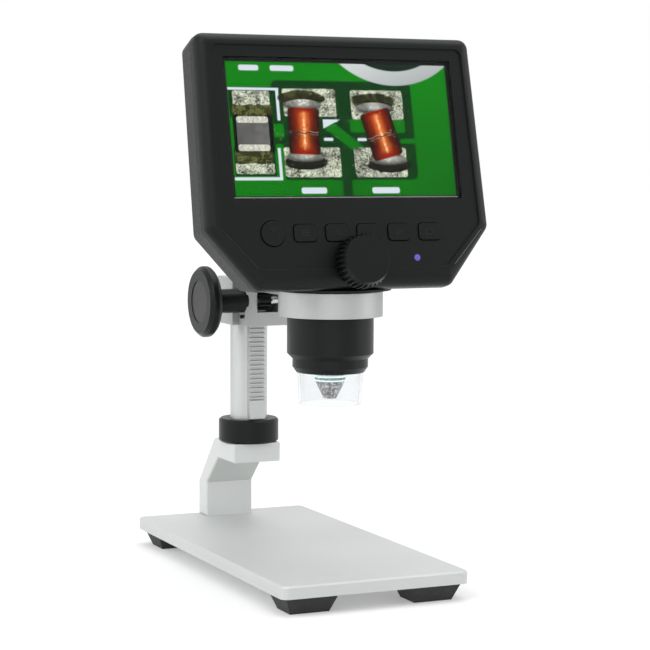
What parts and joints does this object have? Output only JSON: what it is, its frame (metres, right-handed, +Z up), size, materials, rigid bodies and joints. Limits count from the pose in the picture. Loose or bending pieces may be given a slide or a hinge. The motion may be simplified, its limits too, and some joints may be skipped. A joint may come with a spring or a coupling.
{
  "type": "digital microscope",
  "caption": "Portable microscope with its own display, held in a ring on a rack and pinion column over a flat metal stage; a knob sets the height and a wheel focuses.",
  "frame": {"origin": "middle of the stand's footprint, on the table under the feet", "axes": "+Z up along the column; the display faces -Y; +X to the right of someone who looks at the display"},
  "size_m": [0.1216, 0.165, 0.2211],
  "materials": {
    "brushed_aluminium": "satin, fine bead-blasted",
    "rubber": "matt moulded rubber",
    "steel": "plain",
    "black_metal": "black anodised, satin",
    "black_plastic": "fine spark texture",
    "grey_plastic": "satin",
    "clear_plastic": "polished clear acrylic",
    "lens_glass": "coated",
    "bright_metal": "turned, bright",
    "screen": "lit display",
    "circuit_board": "solder mask",
    "lamp": "clear lens",
    "electronics": "plain"
  },
  "bodies": {
    "stand": {"base_plate": "brushed_aluminium", "base_screws": "steel", "rubber_feet": "rubber", "bracket": "brushed_aluminium", "column": "brushed_aluminium", "column_bolt": "steel", "column_cap": "brushed_aluminium", "lock_nut": "black_metal", "column_rack": "brushed_aluminium"},
    "carriage": {"carriage": "brushed_aluminium", "drag_pad": "grey_plastic", "drag_screw": "steel", "clamp_ring": "brushed_aluminium", "ring_screw": "steel", "bearing_sleeve": "black_metal"},
    "height_drive": {"height_pinion": "black_metal", "pinion_shaft": "steel", "shaft_clip": "steel", "height_knob": "black_plastic", "knob_cap": "grey_plastic"},
    "head": {"front_bezel": "black_plastic", "rear_housing": "black_plastic", "screen_window": "clear_plastic", "display_panel": "screen", "main_board": "circuit_board", "key_board": "circuit_board", "key_switches": "electronics", "battery": "electronics", "battery_hatch": "black_plastic", "hatch_screw": "steel", "housing_screws": "steel", "usb_port": "steel", "card_slot": "steel", "indicator_lens": "lamp", "sensor_board": "circuit_board", "barrel_housing": "black_metal", "light_board": "circuit_board", "light_leds": "lamp", "lens_cone": "bright_metal"},
    "lens": {"lens_carrier": "grey_plastic", "objective_lens": "lens_glass", "focus_rack": "grey_plastic"},
    "focus_drive": {"focus_wheel": "black_plastic", "focus_shaft": "grey_plastic", "focus_gear": "grey_plastic"},
    "snoot": {"clear_snoot": "clear_plastic"},
    "power_key": {"power_key": "black_plastic"},
    "menu_key": {"menu_key": "black_plastic"},
    "left_key": {"left_key": "black_plastic"},
    "ok_key": {"ok_key": "black_plastic"},
    "right_key": {"right_key": "black_plastic"},
    "shutter_key": {"shutter_key": "black_plastic"}
  },
  "joints": [
    {"name": "height_slide", "type": "slide", "parent": "stand", "child": "carriage", "axis": [0, 0, 1], "range_m": [-0.038, 0.038]},
    {"name": "height_knob_turn", "type": "hinge", "parent": "carriage", "child": "height_drive", "pos_m": [0, 0.03553, 0.1116], "axis": [1, 0, 0], "range_deg": [-580, 580]},
    {"name": "head_swivel", "type": "hinge", "parent": "carriage", "child": "head", "pos_m": [0, -0.037, 0.115], "axis": [0, 0, 1], "continuous": true},
    {"name": "lens_focus", "type": "slide", "parent": "head", "child": "lens", "axis": [0, 0, 1], "range_m": [-0.002, 0.002]},
    {"name": "focus_wheel_turn", "type": "hinge", "parent": "head", "child": "focus_drive", "pos_m": [0.0008, -0.06211, 0.13287], "axis": [0, 0.9753, -0.2207], "range_deg": [-60, 60]},
    {"name": "snoot_pull", "type": "slide", "parent": "head", "child": "snoot", "axis": [0, 0, -1], "range_m": [0, 0.02]},
    {"name": "power_key_press", "type": "slide", "parent": "head", "child": "power_key", "axis": [0, 0.9753, -0.2207], "range_m": [0, 0.0005], "stiffness_N_per_m": 500, "springref_m": -0.0002},
    {"name": "menu_key_press", "type": "slide", "parent": "head", "child": "menu_key", "axis": [0, 0.9753, -0.2207], "range_m": [0, 0.0005], "stiffness_N_per_m": 500, "springref_m": -0.0002},
    {"name": "left_key_press", "type": "slide", "parent": "head", "child": "left_key", "axis": [0, 0.9753, -0.2207], "range_m": [0, 0.0005], "stiffness_N_per_m": 500, "springref_m": -0.0002},
    {"name": "ok_key_press", "type": "slide", "parent": "head", "child": "ok_key", "axis": [0, 0.9753, -0.2207], "range_m": [0, 0.0005], "stiffness_N_per_m": 500, "springref_m": -0.0002},
    {"name": "right_key_press", "type": "slide", "parent": "head", "child": "right_key", "axis": [0, 0.9753, -0.2207], "range_m": [0, 0.0005], "stiffness_N_per_m": 500, "springref_m": -0.0002},
    {"name": "shutter_key_press", "type": "slide", "parent": "head", "child": "shutter_key", "axis": [0, 0.9753, -0.2207], "range_m": [0, 0.0005], "stiffness_N_per_m": 500, "springref_m": -0.0002}
  ],
  "couplings": [
    {"joint": "height_knob_turn", "follows": "height_slide", "rad_per_m": -261.8},
    {"joint": "focus_wheel_turn", "follows": "lens_focus", "rad_per_m": 510.69}
  ]
}
